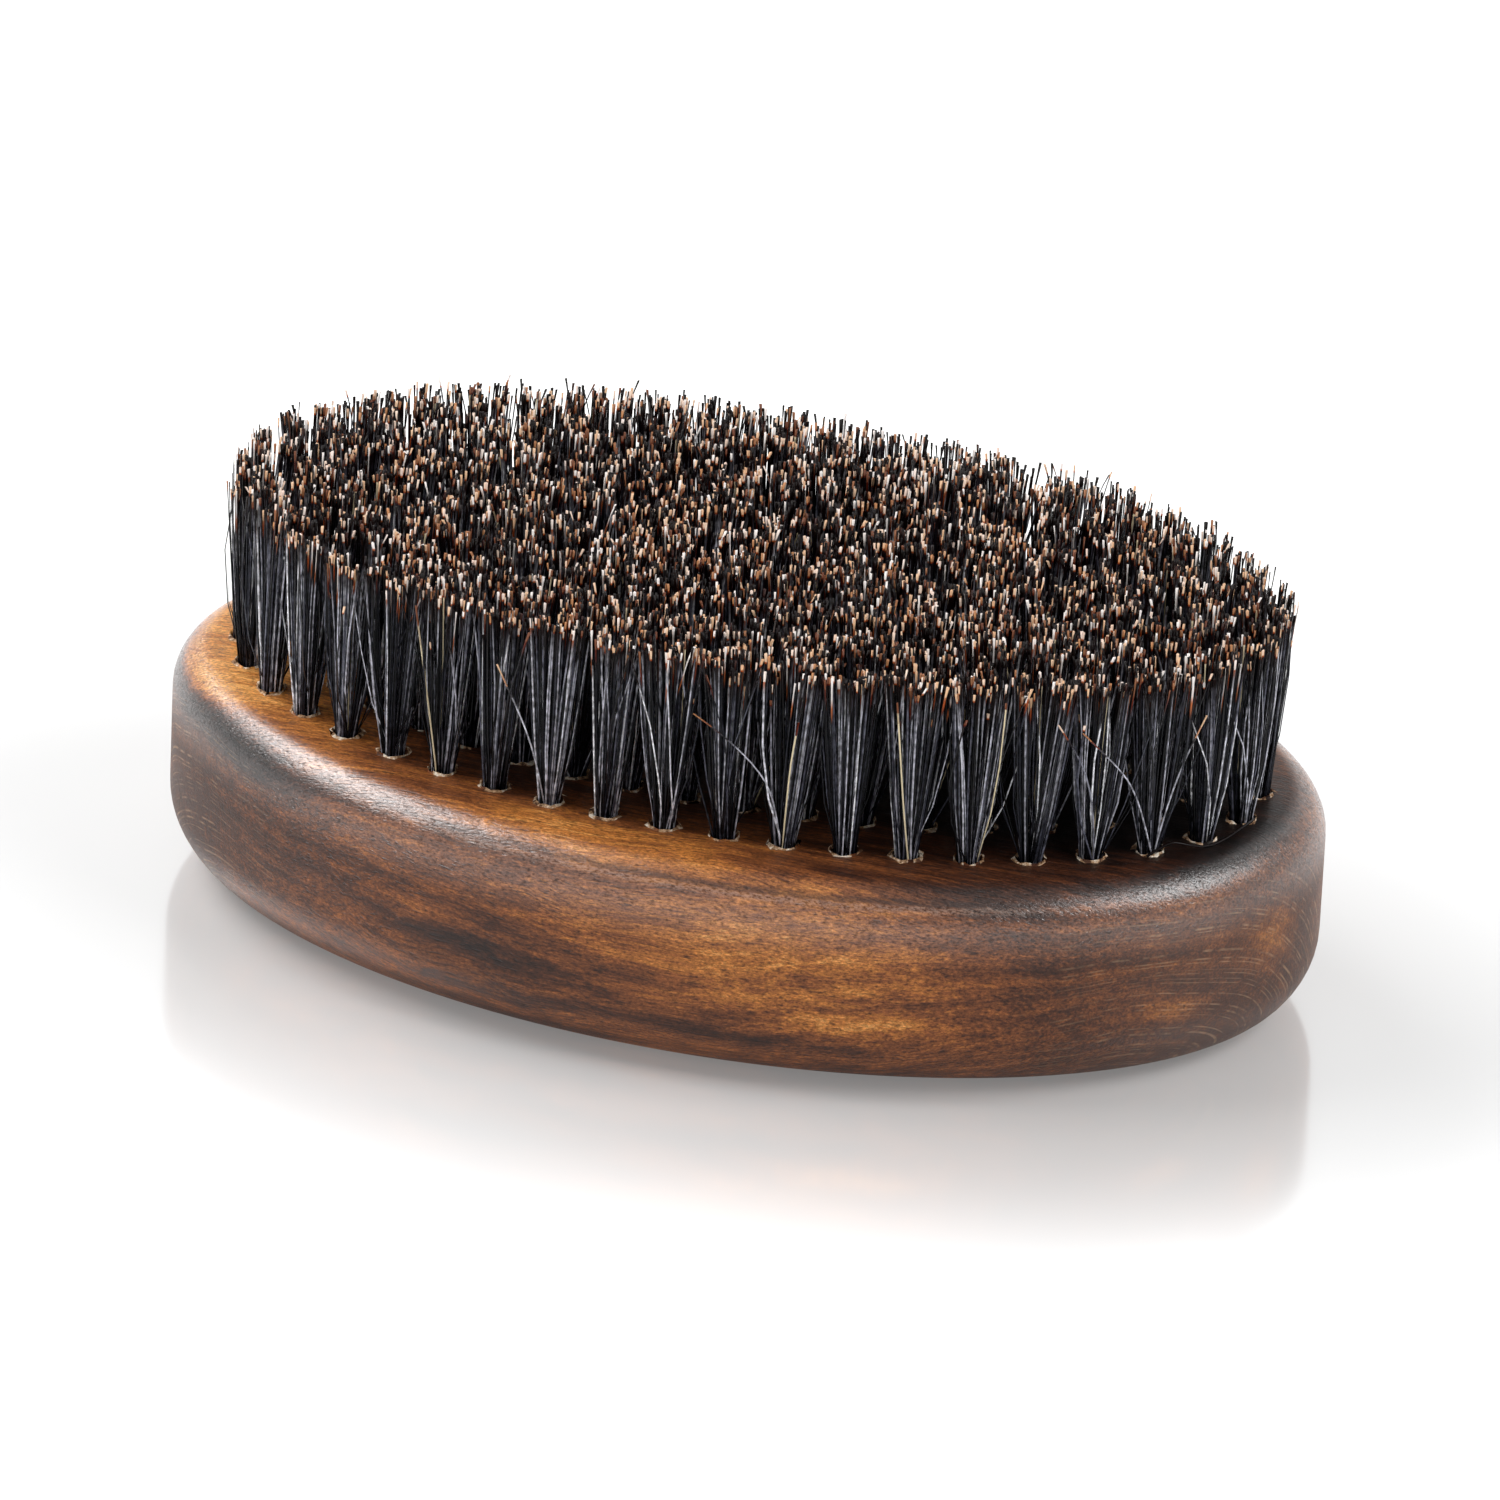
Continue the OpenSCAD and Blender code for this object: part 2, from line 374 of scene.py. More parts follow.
# Growth rings 1 to 3 mm apart round a heart that lies below the front of the block
heart = add_node(tree, "ShaderNodeMapping", {
    "Vector": wandered, "Location": (0, 22 * MM, 6 * MM), "Scale": (0.04, 1, 1)})
from_heart = add_node(tree, "ShaderNodeVectorMath", {0: heart.outputs[0]}, operation="LENGTH")
growth = add_node(tree, "ShaderNodeTexNoise", {
    "W": from_heart.outputs["Value"], "Scale": 1 / (1.5 * MM), "Detail": 3, "Roughness": 0.6},
    noise_dimensions="1D")

# Streaks 1 mm wide, fibres 0.25 mm apart and about 9 mm long, and speckle of 0.2 mm
streak_place = add_node(tree, "ShaderNodeMapping", {
    "Vector": wandered, "Location": (0.7, 5.2, 2.9),
    "Scale": (1 / (18 * MM), 1 / (0.9 * MM), 1 / (0.9 * MM))})
streaks = add_node(tree, "ShaderNodeTexNoise", {"Vector": streak_place.outputs[0], "Scale": 1, "Detail": 1})
fibre_place = add_node(tree, "ShaderNodeMapping", {
    "Vector": wandered, "Scale": (1 / (9 * MM), 1 / (0.25 * MM), 1 / (0.25 * MM))})
fibres = add_node(tree, "ShaderNodeTexNoise", {
    "Vector": fibre_place.outputs[0], "Scale": 1, "Detail": 4, "Roughness": 0.66})
speck_place = add_node(tree, "ShaderNodeMapping", {
    "Vector": place, "Scale": (1 / (0.42 * MM), 1 / (0.2 * MM), 1 / (0.2 * MM))})
specks = add_node(tree, "ShaderNodeTexNoise", {
    "Vector": speck_place.outputs[0], "Scale": 1, "Detail": 3, "Roughness": 0.7})

# Open pores 0.24 mm wide and 2.6 mm long
pore_place = add_node(tree, "ShaderNodeMapping", {
    "Vector": wandered, "Scale": (1 / (2.6 * MM), 1 / (0.24 * MM), 1 / (0.24 * MM))})
pore_noise = add_node(tree, "ShaderNodeTexNoise", {"Vector": pore_place.outputs[0], "Scale": 1, "Detail": 1})
pores = add_node(tree, "ShaderNodeMapRange", {
    "Value": pore_noise.outputs[0], "From Min": 0.60, "From Max": 0.78, "To Max": 0.7})

# Pools of stain some 25 mm across, longer along the grain
pool_place = add_node(tree, "ShaderNodeMapping", {
    "Vector": wandered, "Location": (3.1, 1.7, 0.4),
    "Scale": (1 / (34 * MM), 1 / (18 * MM), 1 / (12 * MM))})
pools = add_node(tree, "ShaderNodeTexNoise", {
    "Vector": pool_place.outputs[0], "Scale": 1, "Detail": 3, "Roughness": 0.55})

# The block's own pools lie on top of that: one is painted shade under the bristle field, and one is partly
# painted light. Tone runs from 0, dark, to 1, pale
tone = add_node(tree, "ShaderNodeMath", {
    0: pools.outputs[0], 1: 0.72, 2: -0.205}, operation="MULTIPLY_ADD")
for centre, radii, paler in (      # centre and radii in mm, and how much paler the pool is
    ((-46, -20, 9), (26, 22, 16), -0.24),
    ((44, -22, 10), (18, 20, 16), -0.22),
    ((44, -10, 22.5), (28, 24, 1.8), -0.54),
    ((34, -27, 21), (12, 6, 2), -0.25),
    ((15, -34, 15), (26, 12, 9), 0.20),
    ((-6, -30, 22.4), (40, 9, 2), 0.28),
    ((-46, -4, 22.4), (24, 30, 2), 0.62),
    # painted shade: the face is darkened under the bristle field
    ((0, 0, 22.4), (56, 30, 3), -0.85),
    ((-46, -18, 20.0), (24, 20, 2.0), -0.50),
    ((-46, -21.5, 22), (13, 7, 2), -0.45),
    ((55, -8, 12), (14, 14, 12), -0.16),
    ((24, -26, 22.4), (16, 9, 1.5), -0.08),
    ((22, -30, 22.2), (26, 4.5, 1), -0.28),
    # partly painted light: the front strip of the face is lightened against the tufts' shadow, and partly
    # paler wood
    ((-8, -29, 22.5), (20, 5, 1), 0.10),
    ((-18, -33, 9.6), (18, 6, 1.5), -0.13),
    ((57, -8, 13), (5, 5, 5), 0.30),
    ((50, -18, 9), (7, 5, 1.6), 0.34),
    ((24, -32, 8.5), (11, 6, 1.6), 0.30),
    ((2, -34, 5.6), (34, 8, 1.3), -0.30),
    ((-6, -30, 2.5), (50, 12, 3), -0.22),
    ((-10, -33, 9), (20, 8, 3), -0.12),
):
    local = add_node(tree, "ShaderNodeMapping", {
        "Vector": wandered, "Location": [-c / r for c, r in zip(centre, radii)],
        "Scale": [1 / (r * MM) for r in radii]})
    far = add_node(tree, "ShaderNodeVectorMath", {0: local.outputs[0]}, operation="LENGTH")
    pool = add_node(tree, "ShaderNodeMapRange", {
        "Value": far.outputs["Value"], "From Min": 0.15, "From Max": 1.1,
        "To Min": paler, "To Max": 0.0}, interpolation_type="SMOOTHSTEP")
    tone = add_node(tree, "ShaderNodeMath", {
        0: pool.outputs[0], 1: tone.outputs[0]}, operation="ADD")
for pattern, strength in ((growth, 0.34), (streaks, 0.42), (fibres, 0.9)):
    tone = add_node(tree, "ShaderNodeMath", {
        0: pattern.outputs[0], 1: strength, 2: tone.outputs[0]}, operation="MULTIPLY_ADD")
tone = add_node(tree, "ShaderNodeMath", {
    0: tone.outputs[0], 1: 0.8, 2: -0.23}, operation="MULTIPLY_ADD", use_clamp=True)
stain = add_node(tree, "ShaderNodeValToRGB", {"Fac": tone.outputs[0]}, stops=[
    (0.0, "#0a0504"), (1.0, "#e5a55c"),
    (0.2, "#23120c"), (0.4, "#4a2817"), (0.6, "#814a26"), (0.8, "#b87334")])
speckled = add_node(tree, "ShaderNodeMapRange", {
    "Value": specks.outputs[0], "From Min": 0.3, "From Max": 0.7, "To Min": 0.3, "To Max": 1.7})
toned = add_node(tree, "ShaderNodeVectorMath", {
    0: stain.outputs[0], "Scale": speckled.outputs[0]}, operation="SCALE")
coloured = add_node(tree, "ShaderNodeMix", {
    0: pores.outputs[0], 6: toned.outputs[0], 7: linear("#1c100b")}, data_type="RGBA")

# End grain at both ends has drunk more stain, so it is greyer and more even. Short
# pale strokes 0.3 mm apart follow the growth rings in it.
position = add_node(tree, "ShaderNodeSeparateXYZ", {0: place}).outputs
from_middle = add_node(tree, "ShaderNodeMath", {0: position["X"]}, operation="ABSOLUTE")
ends = add_node(tree, "ShaderNodeMapRange", {
    "Value": from_middle.outputs[0], "From Min": 34 * MM, "From Max": 50 * MM})
steep = add_node(tree, "ShaderNodeMapRange", {
    "Value": position["Z"], "From Min": 18 * MM, "From Max": 21 * MM,
    "To Min": ends.outputs[0], "To Max": 0.0})
strokes = add_node(tree, "ShaderNodeTexNoise", {
    "W": from_heart.outputs["Value"], "Scale": 1 / (0.3 * MM), "Detail": 1}, noise_dimensions="1D")
strokes = add_node(tree, "ShaderNodeMapRange", {
    "Value": strokes.outputs[0], "From Min": 0.55, "From Max": 0.68})
broken = add_node(tree, "ShaderNodeTexNoise", {"Vector": place, "Scale": 1 / (1.6 * MM), "Detail": 2})
strokes_seen = add_node(tree, "ShaderNodeMapRange", {
    "Value": broken.outputs[0], "From Min": 0.42, "From Max": 0.62, "To Max": strokes.outputs[0]})

# Along the front of the upper edge a pale line runs under a dark line. The pale line is partly wear and
# partly a painted highlight on the edge
wavy = add_node(tree, "ShaderNodeMath", {
    0: broken.outputs[0], 1: 0.5 * MM, 2: position["Z"]}, operation="MULTIPLY_ADD")
edge = add_node(tree, "ShaderNodeMapRange", {
    "Value": wavy.outputs[0], "From Min": 20.25 * MM, "From Max": 22.25 * MM})
worn_and_highlit = add_node(tree, "ShaderNodeValToRGB", {"Fac": edge.outputs[0]}, stops=[
    (0.12, "#000000"), (0.52, "#000000"), (0.32, "#ffffff"), (0.42, "#ffffff")])
worn_and_highlit_specks = add_node(tree, "ShaderNodeMapRange", {
    "Value": specks.outputs[0], "From Min": 0.4, "From Max": 0.62,
    "To Min": 0.0, "To Max": worn_and_highlit.outputs[0]})
dark_edge_line = add_node(tree, "ShaderNodeValToRGB", {"Fac": edge.outputs[0]}, stops=[
    (0.44, "#000000"), (0.80, "#000000"), (0.54, "#ffffff"), (0.62, "#ffffff")])
front_place = add_node(tree, "ShaderNodeMapping", {
    "Vector": place, "Location": (-10 / 44, 32 / 14, 0), "Scale": (1 / (44 * MM), 1 / (14 * MM), 0)})
from_front = add_node(tree, "ShaderNodeVectorMath", {0: front_place.outputs[0]}, operation="LENGTH")
front = add_node(tree, "ShaderNodeMapRange", {
    "Value": from_front.outputs["Value"], "From Min": 0.6, "From Max": 1.0, "To Min": 1.0, "To Max": 0.0})
for mark, where, strength, colour in (
    (ends, steep, 0.45, "#4d3830"),
    (strokes_seen, steep, 0.34, "#c7a07a"),
    # the pale line: partly wear, partly a painted highlight along the edge
    (worn_and_highlit_specks, front, 0.5, "#a18777"),
    (dark_edge_line, front, 0.55, "#23130c"),
):
    seen = add_node(tree, "ShaderNodeMath", {
        0: mark.outputs[0], 1: where.outputs[0]}, operation="MULTIPLY")
    seen = add_node(tree, "ShaderNodeMath", {0: seen.outputs[0], 1: strength}, operation="MULTIPLY")
    coloured = add_node(tree, "ShaderNodeMix", {
        0: seen.outputs[0], 6: coloured.outputs[2], 7: linear(colour)}, data_type="RGBA")

# Fibres and specks stand up and pores sink in, and the lacquer levels them a little
relief = add_node(tree, "ShaderNodeMath", {
    0: specks.outputs[0], 1: 0.5, 2: fibres.outputs[0]}, operation="MULTIPLY_ADD")
relief = add_node(tree, "ShaderNodeMath", {
    0: pores.outputs[0], 1: -0.8, 2: relief.outputs[0]}, operation="MULTIPLY_ADD")
bump = add_node(tree, "ShaderNodeBump", {
    "Height": relief.outputs[0], "Strength": 0.5, "Distance": 0.14 * MM})
coat_bump = add_node(tree, "ShaderNodeBump", {
    "Height": relief.outputs[0], "Strength": 0.5, "Distance": 0.1 * MM})
rough = add_node(tree, "ShaderNodeMapRange", {"Value": specks.outputs[0], "To Min": 0.35, "To Max": 0.6})

# The lacquer is thickest along the upper edge, which the hand polishes, and thin underneath
# and among the tufts. The grain shows through it as fine dull specks.
build_up = add_node(tree, "ShaderNodeMapRange", {
    "Value": position["Z"], "From Min": 14 * MM, "From Max": 21 * MM, "To Min": 0.06, "To Max": 1.0},
    interpolation_type="SMOOTHSTEP")
among_tufts = add_node(tree, "ShaderNodeMapRange", {
    "Value": position["Z"], "From Min": 22.05 * MM, "From Max": 22.42 * MM,
    "To Min": 1.0, "To Max": 0.12})
dulled = add_node(tree, "ShaderNodeMapRange", {
    "Value": specks.outputs[0], "From Min": 0.35, "From Max": 0.5,
    "To Min": 0.25, "To Max": among_tufts.outputs[0]})
lacquer = add_node(tree, "ShaderNodeMath", {
    0: build_up.outputs[0], 1: dulled.outputs[0]}, operation="MULTIPLY")
finish = add_node(tree, "ShaderNodeBsdfPrincipled", {
    "Base Color": coloured.outputs[2], "Roughness": rough.outputs[0], "IOR": 1.5,
    "Specular IOR Level": 0.25, "Normal": bump.outputs[0],
    "Coat Weight": lacquer.outputs[0], "Coat Roughness": 0.19, "Coat IOR": 1.85,
    "Coat Normal": coat_bump.outputs[0]})
tree.links.new(finish.outputs[0], output.inputs["Surface"])

# Raw fibres torn up by the drill round each hole, pale where the stain missed them
torn_fibres, tree, output = new_material("torn_raw_wood_fibres")
place = add_node(tree, "ShaderNodeTexCoord").outputs["Object"]
shreds = add_node(tree, "ShaderNodeTexNoise", {
    "Vector": place, "Scale": 1 / (0.9 * MM), "Detail": 4, "Roughness": 0.7})
pale = add_node(tree, "ShaderNodeValToRGB", {"Fac": shreds.outputs[0]}, stops=[
    (0.40, "#54331f"), (0.60, "#fbeedb"), (0.50, "#c39a72")])
bump = add_node(tree, "ShaderNodeBump", {
    "Height": shreds.outputs[0], "Strength": 0.6, "Distance": 0.1 * MM})
finish = add_node(tree, "ShaderNodeBsdfPrincipled", {
    "Base Color": pale.outputs[0], "Roughness": 0.8, "Normal": bump.outputs[0]})
tree.links.new(finish.outputs[0], output.inputs["Surface"])
block.data.materials.append(stained_walnut)
block.data.materials.append(torn_fibres)


# ---------------------------------------------------------------------------
# Bristle tufts: natural boar bristles, stiff hairs 0.12 to 0.25 mm thick
# with pale split tips. Each tuft is folded round its anchor at the bottom of a
# hole and trimmed level with the others after filling.
bristle_height = 19.2 * MM
root_depth = 8.1 * MM
hairs_in_tuft = 116
thinnest, thickest = 0.062, 0.122   # mm, a hair's radius
packed_radius = 1.06 * MM     # of the tuft in its hole
fold_squeeze = 0.8            # share of that at the fold
fan_out, fan_spread = 2.2, 0.5      # how far a tip moves out, in distances of its root
tip_scatter = 0.35            # mm
bend, stray_bend = 0.16, 0.9        # mm by which hairs bow out halfway up
locks_in_tuft = 9             # hairs cling together in locks
lock_reach = 3.1 * MM         # furthest place of a lock's tip
lock_pull = 0.4               # share by which a hair's tip moves to the nearest lock
lock_heights = 0.3            # mm by which whole locks stand off the trim
trim_spread, trim_limit = 0.36, 0.75  # mm by which single hairs do, and the most upwards
stray_share = 0.12            # of the hairs stand out of the locks,
stray_least, stray_more = 1, 4.5    # mm, by the first and up to the second more
short_share = 0.05            # of the hairs are shorter,
short_by = (1, 5)             # mm, by this much
straw_share = 0.004
hair_kinds = 64               # columns of the UV map. The last is the straw-coloured hair
stage_shares = (-1, 0, 0.3, 0.6, 0.94, 1)         # root, face of the block, then up to the tip
stage_along = (0.0, 0.12, 0.3, 0.5, 0.7, 1.0)     # the same stages on the UV map
stage_thickness = (0.95, 1, 1, 0.97, 1, 1.55)     # the split tip fans out a little


def round_about(angle):
    """The level direction at an angle."""
    return Vector((math.cos(angle), math.sin(angle), 0))


# One hair as a three-sided column whose stages stand one unit apart. A tuft bends its copies
bm = bmesh.new()
bmesh.ops.create_circle(bm, segments=3, radius=1)
along = bm.loops.layers.uv.new("OFBake")
edges = bm.edges[:]
for stage in range(1, len(stage_shares)):
    new = bmesh.ops.extrude_edge_only(bm, edges=edges)["geom"]
    bmesh.ops.translate(bm, vec=(0, 0, 1), verts=only(BMVert, new))
    edges = only(BMEdge, new)
bmesh.ops.holes_fill(bm, edges=bm.edges, sides=3)
bmesh.ops.recalc_face_normals(bm, faces=bm.faces)
for f in bm.faces:
    f.smooth = True
    middle = f.calc_center_median()
    turn = (math.atan2(middle.y, middle.x) / (2 * math.pi)) % 1
    for loop in f.loops:
        corner = (math.atan2(loop.vert.co.y, loop.vert.co.x) / (2 * math.pi) - turn + 0.5) % 1 - 0.5
        loop[along].uv = (turn + corner, stage_along[round(loop.vert.co.z)])
hair_mesh = new_mesh("hair", bm)


def tuft_of_hairs(seed):
    """One tuft with its hole's mouth at the origin: hairs leave together and spread upwards."""
    chance = random.Random(seed)
    locks = []
    for _ in range(locks_in_tuft):
        turn, reach = chance.uniform(0, 2 * math.pi), lock_reach * math.sqrt(chance.random())
        locks.append((round_about(turn) * reach, chance.gauss(0, lock_heights) * MM))
    bm = bmesh.new()
    along = bm.loops.layers.uv.new("OFBake")
    for _ in range(hairs_in_tuft):
        seen, faces = len(bm.verts), len(bm.faces)
        bm.from_mesh(hair_mesh)
        bm.verts.ensure_lookup_table()
        bm.faces.ensure_lookup_table()
        turn = chance.uniform(0, 2 * math.pi)
        root = round_about(turn) * (packed_radius * math.sqrt(chance.random()))
        spread = root * chance.gauss(fan_out, fan_spread)
        stands_off, bends_by = 0, bend
        if chance.random() < stray_share:
            bends_by = stray_bend
            away = chance.uniform(0, 2 * math.pi)
            spread += round_about(away) * (stray_least + stray_more * chance.random() ** 2) * MM
        else:
            spread += Vector((chance.gauss(0, tip_scatter), chance.gauss(0, tip_scatter), 0)) * MM
            lock, stands_off = min(locks, key=lambda one: (one[0] - root - spread).length)
            spread += (lock - root - spread) * lock_pull
        bow = Vector((chance.gauss(0, bends_by), chance.gauss(0, bends_by), 0)) * MM
        length = bristle_height + min(chance.gauss(0, trim_spread) * MM + stands_off, trim_limit * MM)
        if chance.random() < short_share:
            length -= chance.uniform(*short_by) * MM
        radius = chance.uniform(thinnest, thickest) * MM
        start = chance.uniform(0, 2 * math.pi)
        kind = hair_kinds - 1 if chance.random() < straw_share else chance.randrange(hair_kinds - 1)
        for v in bm.verts[seen:]:
            stage = round(v.co.z)
            share = stage_shares[stage]
            angle = math.atan2(v.co.y, v.co.x) + start
            if share < 0:
                middle = root * fold_squeeze - Vector((0, 0, root_depth))
            else:
                middle = root + spread * share ** 0.8 + bow * 4 * share * (1 - share)
                middle.z = length * share
            v.co = middle + round_about(angle) * radius * stage_thickness[stage]
        for f in bm.faces[faces:]:
            for loop in f.loops:
                loop[along].uv.x = (kind + 0.2 + 0.6 * min(max(loop[along].uv.x, 0), 1)) / hair_kinds
    return new_mesh("tuft", bm)


# Black to dark brown bristle, shiny along its length, with painted sheen and glints in the shaft's colour.
# The last 0.5 to 1.5 mm of most hairs, worn and split, is brown, amber or straw.
boar_bristle, tree, output = new_material("natural_boar_bristle")
on_hair = add_node(tree, "ShaderNodeSeparateXYZ", {
    0: add_node(tree, "ShaderNodeUVMap", uv_map="OFBake").outputs[0]}).outputs
column = add_node(tree, "ShaderNodeMath", {0: on_hair[0], 1: hair_kinds}, operation="MULTIPLY")
column = add_node(tree, "ShaderNodeMath", {0: column.outputs[0]}, operation="FLOOR")
draws = [     # three numbers of each kind of hair: for its shaft, its tip and where the tip starts
    add_node(tree, "ShaderNodeTexWhiteNoise", {"W": add_node(
        tree, "ShaderNodeMath", {0: column.outputs[0], 1: offset}, operation="ADD").outputs[0]},
        noise_dimensions="1D").outputs["Value"]
    for offset in (0.5, 100.5, 200.5)
]
# Painted sheen: the paler grey and near-white kinds of shaft stand in for hairs that catch the light along
# their length
shaft = add_node(tree, "ShaderNodeValToRGB", {"Fac": draws[0]}, stops=[
    (0.0, "#08080a"), (1.0, "#f6f6fa"),
    (0.45, "#14151b"), (0.66, "#30313a"), (0.82, "#5f606d"), (0.92, "#bcbcc7")])

# Painted glints: the shaft's colour brightens and darkens every millimetre or less along it
place = add_node(tree, "ShaderNodeTexCoord").outputs["Object"]
glints = add_node(tree, "ShaderNodeTexNoise", {
    "Vector": place, "Scale": 1 / (0.7 * MM), "Detail": 2})
glints = add_node(tree, "ShaderNodeMapRange", {
    "Value": glints.outputs[0], "From Min": 0.35, "From Max": 0.65, "To Min": 0.45, "To Max": 1.6})
shaft = add_node(tree, "ShaderNodeVectorMath", {
    0: shaft.outputs[0], "Scale": glints.outputs[0]}, operation="SCALE")
upper_part = add_node(tree, "ShaderNodeMapRange", {
    "Value": on_hair[1], "From Min": 0.60, "From Max": 0.72, "To Max": 0.9},
    interpolation_type="SMOOTHSTEP")
shaft = add_node(tree, "ShaderNodeMix", {
    0: upper_part.outputs[0], 6: shaft.outputs[0], 7: linear("#160706")}, data_type="RGBA")
straw = add_node(tree, "ShaderNodeMath", {
    0: column.outputs[0], 1: hair_kinds - 1.5}, operation="GREATER_THAN")
shaft = add_node(tree, "ShaderNodeMix", {
    0: straw.outputs[0], 6: shaft.outputs[2], 7: linear("#ecdcb8")}, data_type="RGBA")

# An amber band leads from the shaft into the tip's own colour
tip = add_node(tree, "ShaderNodeValToRGB", {"Fac": draws[1]}, stops=[
    (0.0, "#0b0504"), (1.0, "#fffaf6"), (0.53, "#150606"), (0.68, "#623124"), (0.76, "#da9b6a"),
    (0.82, "#f1c8a2"), (0.86, "#f9e6e0"), (0.93, "#fbdabc"), (0.96, "#fff3ee")])
tip_start = add_node(tree, "ShaderNodeMath", {0: draws[2], 1: draws[2]}, operation="MULTIPLY")
tip_start = add_node(tree, "ShaderNodeMath", {
    0: tip_start.outputs[0], 1: -0.22, 2: 0.87}, operation="MULTIPLY_ADD")
above = add_node(tree, "ShaderNodeMath", {
    0: on_hair[1], 1: tip_start.outputs[0]}, operation="SUBTRACT")
amber = add_node(tree, "ShaderNodeMix", {
    0: 1, 6: tip.outputs[0], 7: linear("#bd6c40")}, data_type="RGBA", blend_type="MULTIPLY")
hair_colour = shaft
for colour, start, end in ((amber.outputs[2], -0.08, -0.03), (tip.outputs[0], -0.03, 0.01)):
    paling = add_node(tree, "ShaderNodeMapRange", {
        "Value": above.outputs[0], "From Min": start, "From Max": end}, interpolation_type="SMOOTHSTEP")
    hair_colour = add_node(tree, "ShaderNodeMix", {
        0: paling.outputs[0], 6: hair_colour.outputs[2], 7: colour}, data_type="RGBA")
finish = add_node(tree, "ShaderNodeBsdfPrincipled", {
    "Base Color": hair_colour.outputs[2], "Roughness": 0.25, "IOR": 1.55,
    "Specular IOR Level": 0.15})
tree.links.new(finish.outputs[0], output.inputs["Surface"])

# Every tuft is one of a few, turned and leant its own way, with its hair kinds moved on.
# The outer tufts lean out, and all of them a little to the right.
tufts = [tuft_of_hairs(seed) for seed in range(8)]
outer_lean = 0.3 * MM         # at the tips, and less in each ring further in
right_lean, lean_spread = 0.02, 0.01
height_spread = 0.02          # share by which a whole tuft stands higher or lower
straight_reach = 1.2 * MM     # the outermost hairs stand straighter: what is past this
drawn_back = 0.35             # moves back by this share,
drawn_back_left = 0.9         # and by this one in the tuft at the left end

# Eight hairs stand apart in front of the outer ring: the tuft that each comes from, its
# kind, and its path in mm, sideways along the ring and up
stray_radius = 0.09
straw_kind = hair_kinds - 1
stray_hairs = (
    (33, 38, ((0, -0.5), (-0.6, 4.1), (-1.5, 7.4), (-3.8, 10.1), (-6.2, 12.2), (-8.8, 14))),
    (33, straw_kind, ((0, -0.5), (0.4, 5.2), (0.7, 10), (1.4, 14.5))),
    (39, 5, ((0, -0.5), (0.6, 4), (1.4, 7.8), (2.5, 11.6), (3.9, 15.1))),
    (38, 15, ((0, -0.5), (-0.3, 4.9), (-1.5, 10.2), (-3.2, 13.3), (-4.8, 15.9))),
    (39, 38, ((0, -0.5), (-1.9, 5.5), (-3.6, 9.2), (-6.3, 12.2), (-9.1, 15.3))),
    (29, 5, ((0, -0.5), (-0.7, 3.9), (-1.7, 7.7), (-3.3, 11.3), (-4.8, 14.6))),
    (35, straw_kind, ((0.3, -0.5), (-0.4, 5.3), (-0.8, 9.9), (-1.2, 14.4), (-1.5, 17.8))),
    (27, straw_kind, ((0, -0.5), (-0.2, 2.4), (-0.5, 5.8), (-1, 12), (-1.6, 18.4))),
)

# One more has slipped out of its tuft and lies bent round the right end of the ring
loose_radius = 0.15
loose_kind = 20    # the darkest
loose_path = (
    (44.9, -14.4, 22.6), (45.9, -13.6, 23.3), (46.9, -12.9, 23.9), (48.0, -12.2, 23.5), (49.3, -11.1, 22.9),
    (50.3, -9.7, 22.7), (51.3, -7.7, 22.9), (51.9, -5.8, 23.1), (52.3, -4.2, 23.0), (52.3, -3.0, 22.8))


def add_bent_hair(bm, along, radius, kind, low_v, high_v, path):
    """Adds a five-sided hair along a path in mm, coloured from low_v to high_v of its kind."""
    path = [Vector(p) * MM for p in path]
    points = [a.lerp(b, t / 3) for a, b in zip(path, path[1:]) for t in range(3)] + path[-1:]
    for _ in range(3):
        points[1:-1] = [(a + 2 * b + c) / 4 for a, b, c in zip(points, points[1:], points[2:])]
    facing = (points[1] - points[0]).to_track_quat("Z", "Y").to_matrix().to_4x4()
    foot = bmesh.ops.create_circle(
        bm, segments=5, radius=radius * MM, matrix=Matrix.Translation(points[0]) @ facing)["verts"]
    edges = list({e for v in foot for e in v.link_edges})
    for k, (a, b) in enumerate(zip(points, points[1:])):
        new = bmesh.ops.extrude_edge_only(bm, edges=edges)["geom"]
        bmesh.ops.translate(bm, verts=only(BMVert, new), vec=b - a)
        edges = far_edges(new)
        for f in only(BMFace, new):
            f.smooth = True
            for loop in f.loops:
                loop[along].uv = (
                    (kind + 0.5) / hair_kinds, low_v + (high_v - low_v) * k / len(points))
    for loop in bmesh.ops.contextual_create(bm, geom=edges)["faces"][0].loops:
        loop[along].uv = ((kind + 0.5) / hair_kinds, high_v)


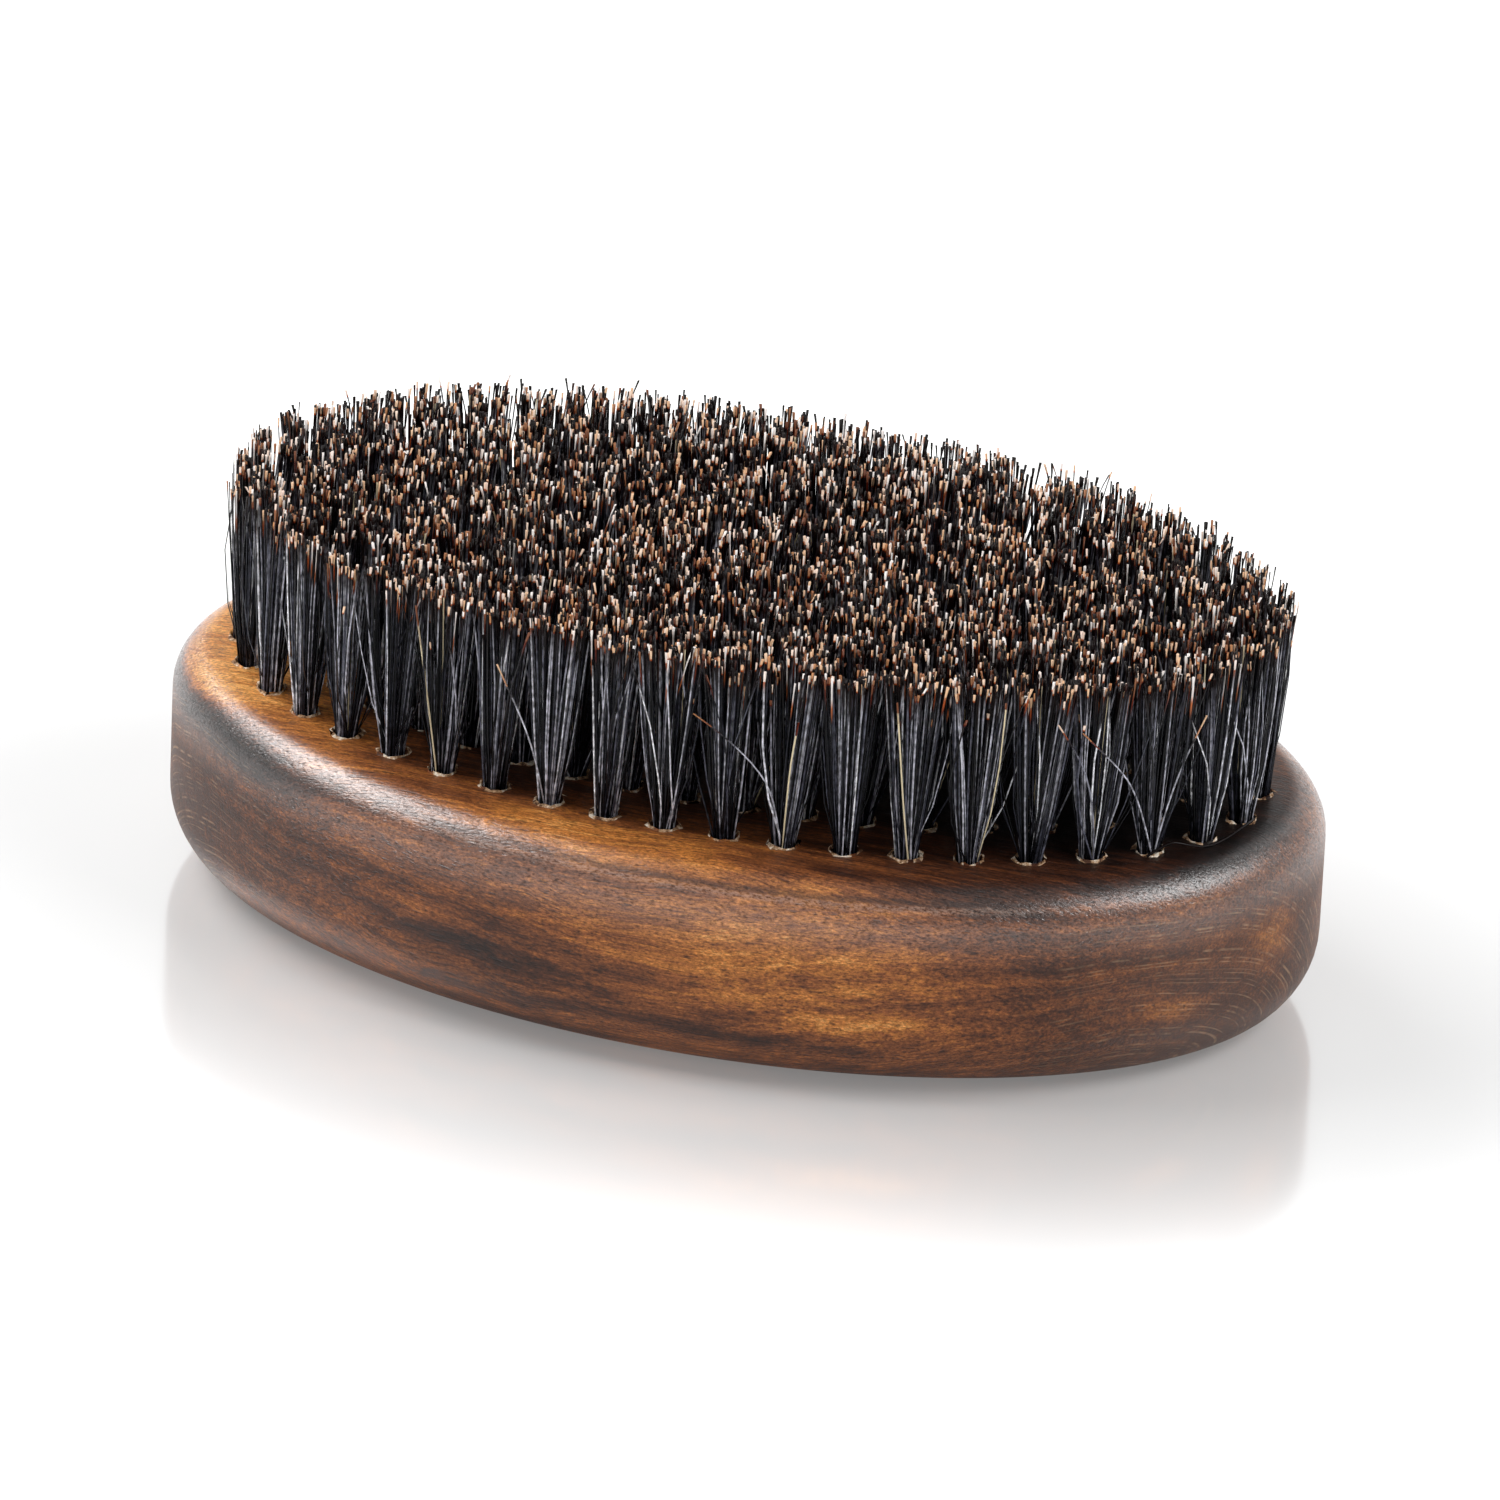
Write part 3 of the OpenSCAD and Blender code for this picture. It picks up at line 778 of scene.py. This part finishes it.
chance = random.Random(5)
for index, (name, places) in enumerate(RINGS.items()):
    lean = outer_lean * (1 - index / 4) / bristle_height
    bm = bmesh.new()
    along = bm.loops.layers.uv.new("OFBake")
    for place, out in places:
        seen, faces = len(bm.verts), len(bm.faces)
        bm.from_mesh(chance.choice(tufts))
        bm.verts.ensure_lookup_table()
        bm.faces.ensure_lookup_table()
        new = bm.verts[seen:]
        turned = Matrix.Rotation(chance.uniform(0, 2 * math.pi), 3, "Z")
        bmesh.ops.rotate(bm, verts=new, cent=(0, 0, 0), matrix=turned)
        tilt = out * lean + Vector((
            chance.gauss(right_lean, lean_spread), chance.gauss(0, lean_spread),
            chance.uniform(-height_spread, height_spread)))
        for v in new:
            height = max(v.co.z, 0)
            v.co += tilt * height
            if name == "outer_ring" and height > 0:
                past = max(v.co.to_2d().dot(out.to_2d()) - straight_reach, 0)
                v.co -= out * past * (drawn_back if out.x > -0.9 else drawn_back_left)
        bmesh.ops.translate(bm, verts=new, vec=place)
        shift = chance.randrange(hair_kinds - 1)
        for f in bm.faces[faces:]:
            for loop in f.loops:
                kind, rest = divmod(loop[along].uv.x * hair_kinds, 1)
                if kind < straw_kind:
                    loop[along].uv.x = ((kind + shift) % (hair_kinds - 1) + rest) / hair_kinds
    if name == "outer_ring":
        add_bent_hair(bm, along, loose_radius, loose_kind, 0.67, 0.67, loose_path)
        for tuft, kind, path in stray_hairs:
            place, out = places[tuft]
            sideways = Vector((-out.y, out.x, 0))
            add_bent_hair(bm, along, stray_radius, kind, 0.1, 1, [
                place / MM + out * (1 + 0.125 * z) + sideways * x + Vector((0, 0, z)) for x, z in path])
    bristles = new_object("bristles_" + name, new_mesh("bristles_" + name, bm))
    bristles.data.materials.append(boar_bristle)
    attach(bristles, "root")
    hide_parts("tufts_" + name)


# ---------------------------------------------------------------------------
# Anchors: short pieces of flat steel wire, driven in on edge over each fold so
# that both ends bite into the wood. They are the solids' own shapes.
anchor_wire, tree, output = new_material("flat_drawn_steel_wire")
place = add_node(tree, "ShaderNodeTexCoord").outputs["Object"]
drawn = add_node(tree, "ShaderNodeTexNoise", {"Vector": place, "Scale": 1 / (0.3 * MM), "Detail": 2})
grey = add_node(tree, "ShaderNodeValToRGB", {"Fac": drawn.outputs[0]}, stops=[
    (0.3, "#a9a59a"), (0.7, "#c9c6bd")])
rough = add_node(tree, "ShaderNodeMapRange", {"Value": drawn.outputs[0], "To Min": 0.25, "To Max": 0.45})
finish = add_node(tree, "ShaderNodeBsdfPrincipled", {
    "Base Color": grey.outputs[0], "Metallic": 1.0, "Roughness": rough.outputs[0]})
tree.links.new(finish.outputs[0], output.inputs["Surface"])
for name in RINGS:
    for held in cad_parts["anchors_" + name].material_slots:
        held.material = anchor_wire
